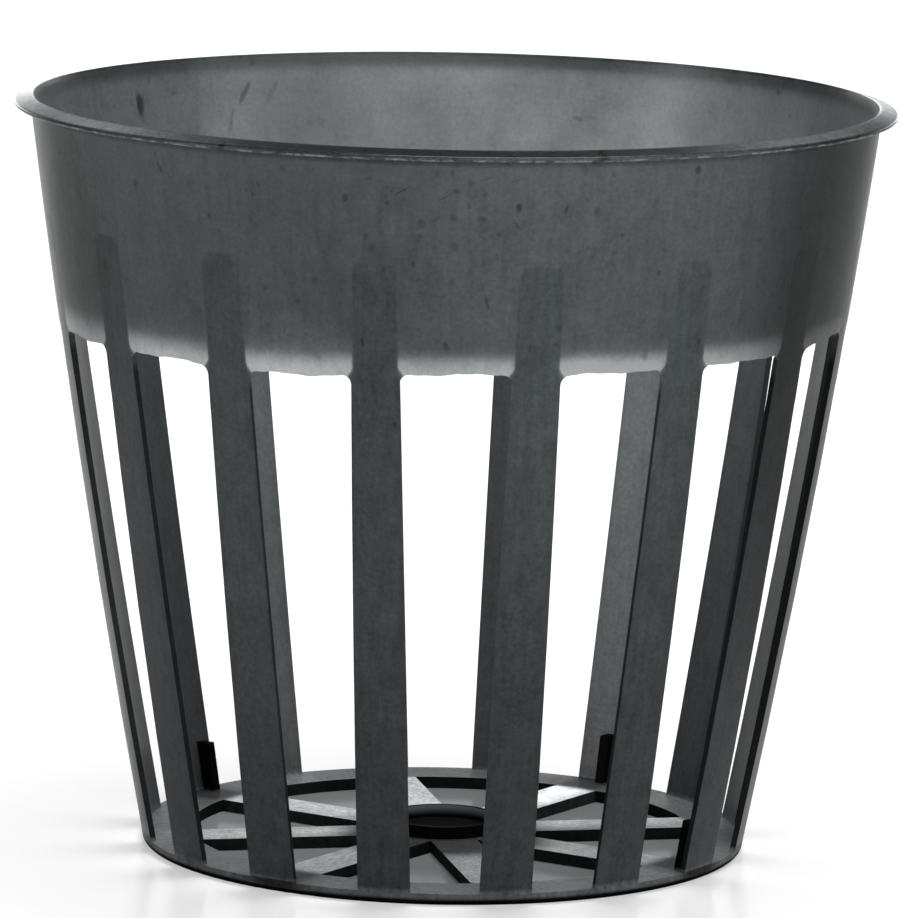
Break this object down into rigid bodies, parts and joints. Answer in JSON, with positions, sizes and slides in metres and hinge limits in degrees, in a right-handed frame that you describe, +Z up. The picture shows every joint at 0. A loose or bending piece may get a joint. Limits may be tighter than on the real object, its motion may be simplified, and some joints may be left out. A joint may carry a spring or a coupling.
{
  "type": "hydroponic net pot",
  "caption": "Round tapered net pot in thin moulded plastic, with a flared lip, a plain upper band, long side slots between straight ribs and an open spoked base.",
  "frame": {"origin": "centre of the standing face, on the pot's axis", "axes": "+Z up along the pot's axis; -Y passes through the middle of a slot"},
  "size_m": [0.08, 0.08, 0.0686],
  "materials": {
    "pot_plastic": "injection-moulded polypropylene, dark grey, semi-matte, slightly translucent where thin"
  },
  "bodies": {
    "root": {"net_pot": "pot_plastic"}
  },
  "joints": []
}
